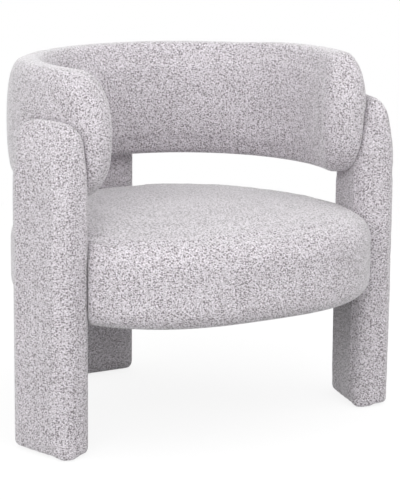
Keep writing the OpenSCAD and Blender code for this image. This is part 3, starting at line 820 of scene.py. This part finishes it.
def dust_ring(inset, share=1.0):
    """A ring of the cloth, in X and Y, counted in from the seat's side and then as a share."""
    directions = np.arange(0, 360, dust_turn_step)
    reach, shift = seat_outline(directions)
    r = (reach - inset) * share + shift
    ring = np.stack([r * np.cos(np.radians(directions)) + tub_middle[0],
                     r * np.sin(np.radians(directions)) + tub_middle[1],
                     np.full(len(directions), seat_low)], 1)
    return pressed_by_legs(ring, dust_leg_gap + inset - dust_inset, press_blend)


def flat_area(ring):
    """Area inside a ring."""
    x, y = ring[:, 0], ring[:, 1]
    return abs(np.sum(x * np.roll(y, -1) - y * np.roll(x, -1))) / 2


dust_edge = dust_ring(dust_inset)
dust_points, dust_faces = [], []
dust_shares = np.concatenate([[1.0, 0.99, 0.975, 0.955, 0.93], np.linspace(0.9, 0.05, 18)])
steps = np.linalg.norm(np.diff(dust_edge[:, :2], axis=0), axis=1)
way = np.concatenate([[0], np.cumsum(steps)])
between = 0.5 - 0.5 * np.cos(2 * math.pi * way / staple_pitch)
for share in dust_shares:
    ring = dust_ring(dust_inset, share)
    near_edge = np.exp(-((share - dust_edge_place) / dust_edge_width) ** 2)
    sag = dust_sag * (1 - share ** 2) ** dust_sag_power
    ring[:, 2] = dust_top - dust_thickness - sag - dust_edge_drop * between * near_edge
    dust_points.extend(ring)
count = len(dust_edge)
for k in range(len(dust_shares) - 1):
    for i in range(count):
        j = (i + 1) % count
        dust_faces.append((k * count + i, (k + 1) * count + i, (k + 1) * count + j, k * count + j))
dust_faces.append(tuple((len(dust_shares) - 1) * count + i for i in range(count)))
dust_cloth = new_piece("dust_cloth", dust_points, dust_faces)
if dust_cloth.data.polygons[0].normal.z > 0:
    dust_cloth.data.flip_normals()
wall = dust_cloth.modifiers.new("thickness", "SOLIDIFY")
wall.thickness, wall.offset = dust_thickness, -1


def felted_cloth():
    """Dark fibres pressed flat, with a fine grid of welded points."""
    f = Finish("felted lining")
    place = f.node("ShaderNodeTexCoord", out="Object")
    x, y, z = f.parts(place)
    drawn = [part * rate for part, rate in zip((x, y, z), felt_rates)]
    fibre = f.noise(f.joined(*drawn), 1.0, 3.0)
    welds = f.math_of("SINE", x * weld_turns) * f.math_of("SINE", y * weld_turns)
    cloud = f.noise(place, 0.03, 3.0)
    height = fibre * 0.7 - welds.smooth(0.5, 0.9) * 0.5
    light = (fibre * 0.6 + cloud * 0.4).smooth(0.25, 0.75)
    f.set(Base_Color=f.blend(light, lining_dark, lining_light),
          Roughness=0.9 - fibre * 0.1,
          Normal=f.bump(height, depth=0.0003, strength=0.6))
    return f.material


dressed(dust_cloth, felted_cloth())
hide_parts("dust_cover")
flat_area(dust_edge)

# Staples.
# Wire staples that hold the dust cloth and the hem of the seat cover under it to the lower ring.
# Their crowns press into the cloth a little, and no two lie quite in line.
staple_inset = 0.009
staple_width, staple_wire = 0.010, 0.0006
staple_points, staple_crown = 0.004, -0.0026
staple_bend_steps, staple_wire_sides = 10, 6
staple_slip = 0.14
staple_seed = 4


class Tree:
    """A Geometry Nodes tree with named inputs."""

    def __init__(self, name, **inputs):
        self.tree = bpy.data.node_groups.new(name, "GeometryNodeTree")
        face = self.tree.interface
        face.new_socket("Geometry", in_out="INPUT", socket_type="NodeSocketGeometry")
        self.inputs = {key: face.new_socket(key, in_out="INPUT", socket_type="NodeSocketFloat")
                       for key in inputs}
        face.new_socket("Geometry", in_out="OUTPUT", socket_type="NodeSocketGeometry")
        self.values = inputs
        self.source = self.tree.nodes.new("NodeGroupInput")

    def add(self, kind, links=None, **settings):
        """Adds a node with its settings and then its values and links."""
        node = self.tree.nodes.new(kind)
        for key, value in settings.items():
            setattr(node, key, value)
        for key, value in (links or {}).items():
            if isinstance(value, bpy.types.NodeSocket):
                self.tree.links.new(value, node.inputs[key])
            else:
                node.inputs[key].default_value = value
        return node

    def bake(self, piece):
        """Runs the tree on a piece and keeps the result as its plain mesh."""
        step = piece.modifiers.new("grown", "NODES")
        step.node_group = self.tree
        for key, value in self.values.items():
            step[self.inputs[key].identifier] = value
        graph = bpy.context.evaluated_depsgraph_get()
        mesh = bpy.data.meshes.new_from_object(piece.evaluated_get(graph))
        piece.modifiers.clear()
        piece.data = mesh


def stapled(piece, material, **sizes):
    """Staples along the edges of a piece, their crowns below and their points up in the wood."""
    t = Tree("staples along an edge", **sizes)
    size = t.source.outputs
    end = t.add("ShaderNodeMath", {0: size["Width"], 1: 0.5}, operation="MULTIPLY").outputs[0]
    start = t.add("ShaderNodeMath", {0: end, 1: -1.0}, operation="MULTIPLY").outputs[0]
    corners = [t.add("ShaderNodeCombineXYZ", {"X": x, "Z": size[z]}).outputs[0]
               for x, z in ((start, "Points"), (start, "Crown"), (end, "Crown"), (end, "Points"))]
    bend = t.add("GeometryNodeCurvePrimitiveBezierSegment",
                 dict(zip(("Start", "Start Handle", "End Handle", "End"), corners),
                      Resolution=staple_bend_steps),
                 mode="POSITION")
    section = t.add("GeometryNodeCurvePrimitiveCircle",
                    {"Resolution": staple_wire_sides, "Radius": size["Wire"]})
    staple = t.add("GeometryNodeCurveToMesh",
                   {"Curve": bend.outputs[0], "Profile Curve": section.outputs[0],
                    "Fill Caps": True})
    line = t.add("GeometryNodeMeshToCurve", {"Mesh": size["Geometry"]})
    spots = t.add("GeometryNodeCurveToPoints",
                  {"Curve": line.outputs[0], "Length": size["Pitch"]}, mode="LENGTH")
    facing = t.add("FunctionNodeAlignRotationToVector",
                   {"Vector": spots.outputs["Tangent"]}, axis="X")
    slip = t.add("FunctionNodeRandomValue",
                 {"Min": (0, 0, -staple_slip), "Max": (0, 0, staple_slip), "Seed": staple_seed},
                 data_type="FLOAT_VECTOR")
    turned = t.add("FunctionNodeRotateRotation",
                   {"Rotation": facing.outputs[0], "Rotate By": slip.outputs[0]})
    placed = t.add("GeometryNodeInstanceOnPoints",
                   {"Points": spots.outputs[0], "Instance": staple.outputs[0],
                    "Rotation": turned.outputs[0]})
    real = t.add("GeometryNodeRealizeInstances", {"Geometry": placed.outputs[0]})
    coated = t.add("GeometryNodeSetMaterial", {"Geometry": real.outputs[0], "Material": material})
    t.add("NodeGroupOutput", {"Geometry": coated.outputs[0]})
    t.bake(piece)


staple_line = dust_ring(dust_inset + staple_inset)
staple_line[:, 2] = dust_top - dust_thickness - staple_wire
count = len(staple_line)
loop = bpy.data.meshes.new("staples")
loop.from_pydata([tuple(point) for point in staple_line],
                 [(i, (i + 1) % count) for i in range(count)], [])
staples = bpy.data.objects.new("staples", loop)
bpy.context.scene.collection.objects.link(staples)
stapled(staples, steel, Width=staple_width, Wire=staple_wire, Pitch=staple_pitch,
        Points=staple_points, Crown=staple_crown)
dressed(staples, steel)

# Room, light and camera.
# A plain pale floor that keeps the shadow and fades to white, an even room light, five round soft
# lamps, and the camera where the photograph was taken from.
floor_half = 6
floor_colour = colour(190, 190, 190)
floor_fade = 0.7, 2.2
floor_shadow, floor_glow = 0.16, 0.86
room_strength = 0.87
white = (1, 1, 1, 1)
lamp_aim = Vector((0, 0, 0.4))
lamps = (("overhead", (-0.6, -1.0, 3.2), 2.4, 6), ("left front", (-2.6, -2.6, 1.9), 2.2, 43),
         ("high front", (0.4, -2.4, 2.6), 2.0, 20), ("right", (3.0, -1.8, 1.8), 2.0, 10),
         ("left", (-3.4, 0.2, 1.8), 2.0, 10.5))
camera_place = Vector((-2.18507, -3.53277, 1.20381))
camera_back = Vector((-0.52423, -0.82575, 0.20812)).normalized()
camera_level = Vector((0.84424, -0.53597, 0.0)).normalized()
camera_roll = 0.497
camera_width, camera_lens = 36.0, 193.17

floor = new_piece("floor", [(-floor_half, -floor_half, 0), (floor_half, -floor_half, 0),
                            (floor_half, floor_half, 0), (-floor_half, floor_half, 0)],
                  [(0, 1, 2, 3)])
paper = Finish("paper")
paper.set(Base_Color=floor_colour, Roughness=1.0)
seen = paper.node("ShaderNodeLightPath", out="Is Camera Ray")
across, along, _ = paper.parts(paper.node("ShaderNodeTexCoord", out="Object"))
far = ((across * across + along * along) ** 0.5).smooth(*floor_fade)
lit = paper.node("ShaderNodeBsdfDiffuse", {"Color": (floor_shadow, floor_shadow, floor_shadow, 1)})
glow = paper.node("ShaderNodeEmission", {"Color": white, "Strength": floor_glow})
clear = paper.node("ShaderNodeEmission", {"Color": white, "Strength": 1.0})
near = paper.node("ShaderNodeAddShader", {0: lit, 1: glow})
pale = paper.node("ShaderNodeMixShader", {0: far, 1: near, 2: clear})
plain = Socket(paper, paper.shader.outputs[0])
paper.put(paper.tree.nodes["Material Output"].inputs[0],
          paper.node("ShaderNodeMixShader", {0: seen, 1: plain, 2: pale}))
floor.data.materials.append(paper.material)

world = bpy.data.worlds.new("studio")
bpy.context.scene.world = world
world.use_nodes = True
nodes, links = world.node_tree.nodes, world.node_tree.links
backdrop = nodes["Background"]
room = nodes.new("ShaderNodeBackground")
for background, strength in ((backdrop, 1.0), (room, room_strength)):
    background.inputs["Color"].default_value = white
    background.inputs["Strength"].default_value = strength
path = nodes.new("ShaderNodeLightPath")
choose = nodes.new("ShaderNodeMixShader")
links.new(path.outputs["Is Camera Ray"], choose.inputs[0])
links.new(room.outputs[0], choose.inputs[1])
links.new(backdrop.outputs[0], choose.inputs[2])
links.new(choose.outputs[0], nodes["World Output"].inputs[0])

for name, place, width, power in lamps:
    lamp = bpy.data.lights.new(name, "AREA")
    lamp.shape, lamp.size, lamp.energy = "DISK", width, power
    holder = bpy.data.objects.new(name, lamp)
    holder.location = place
    holder.rotation_euler = (lamp_aim - Vector(place)).to_track_quat("-Z", "Y").to_euler()
    bpy.context.scene.collection.objects.link(holder)

upright = camera_back.cross(camera_level)
roll = math.radians(camera_roll)
rightward = camera_level * math.cos(roll) + upright * math.sin(roll)
turned = Matrix((rightward, camera_back.cross(rightward), camera_back)).transposed().to_4x4()
view = bpy.data.cameras.new("camera")
view.sensor_fit, view.sensor_width, view.lens = "HORIZONTAL", camera_width, camera_lens
camera = bpy.data.objects.new("camera", view)
camera.matrix_world = Matrix.Translation(camera_place) @ turned
bpy.context.scene.collection.objects.link(camera)
bpy.context.scene.camera = camera
bpy.context.scene.view_settings.view_transform = "Standard"
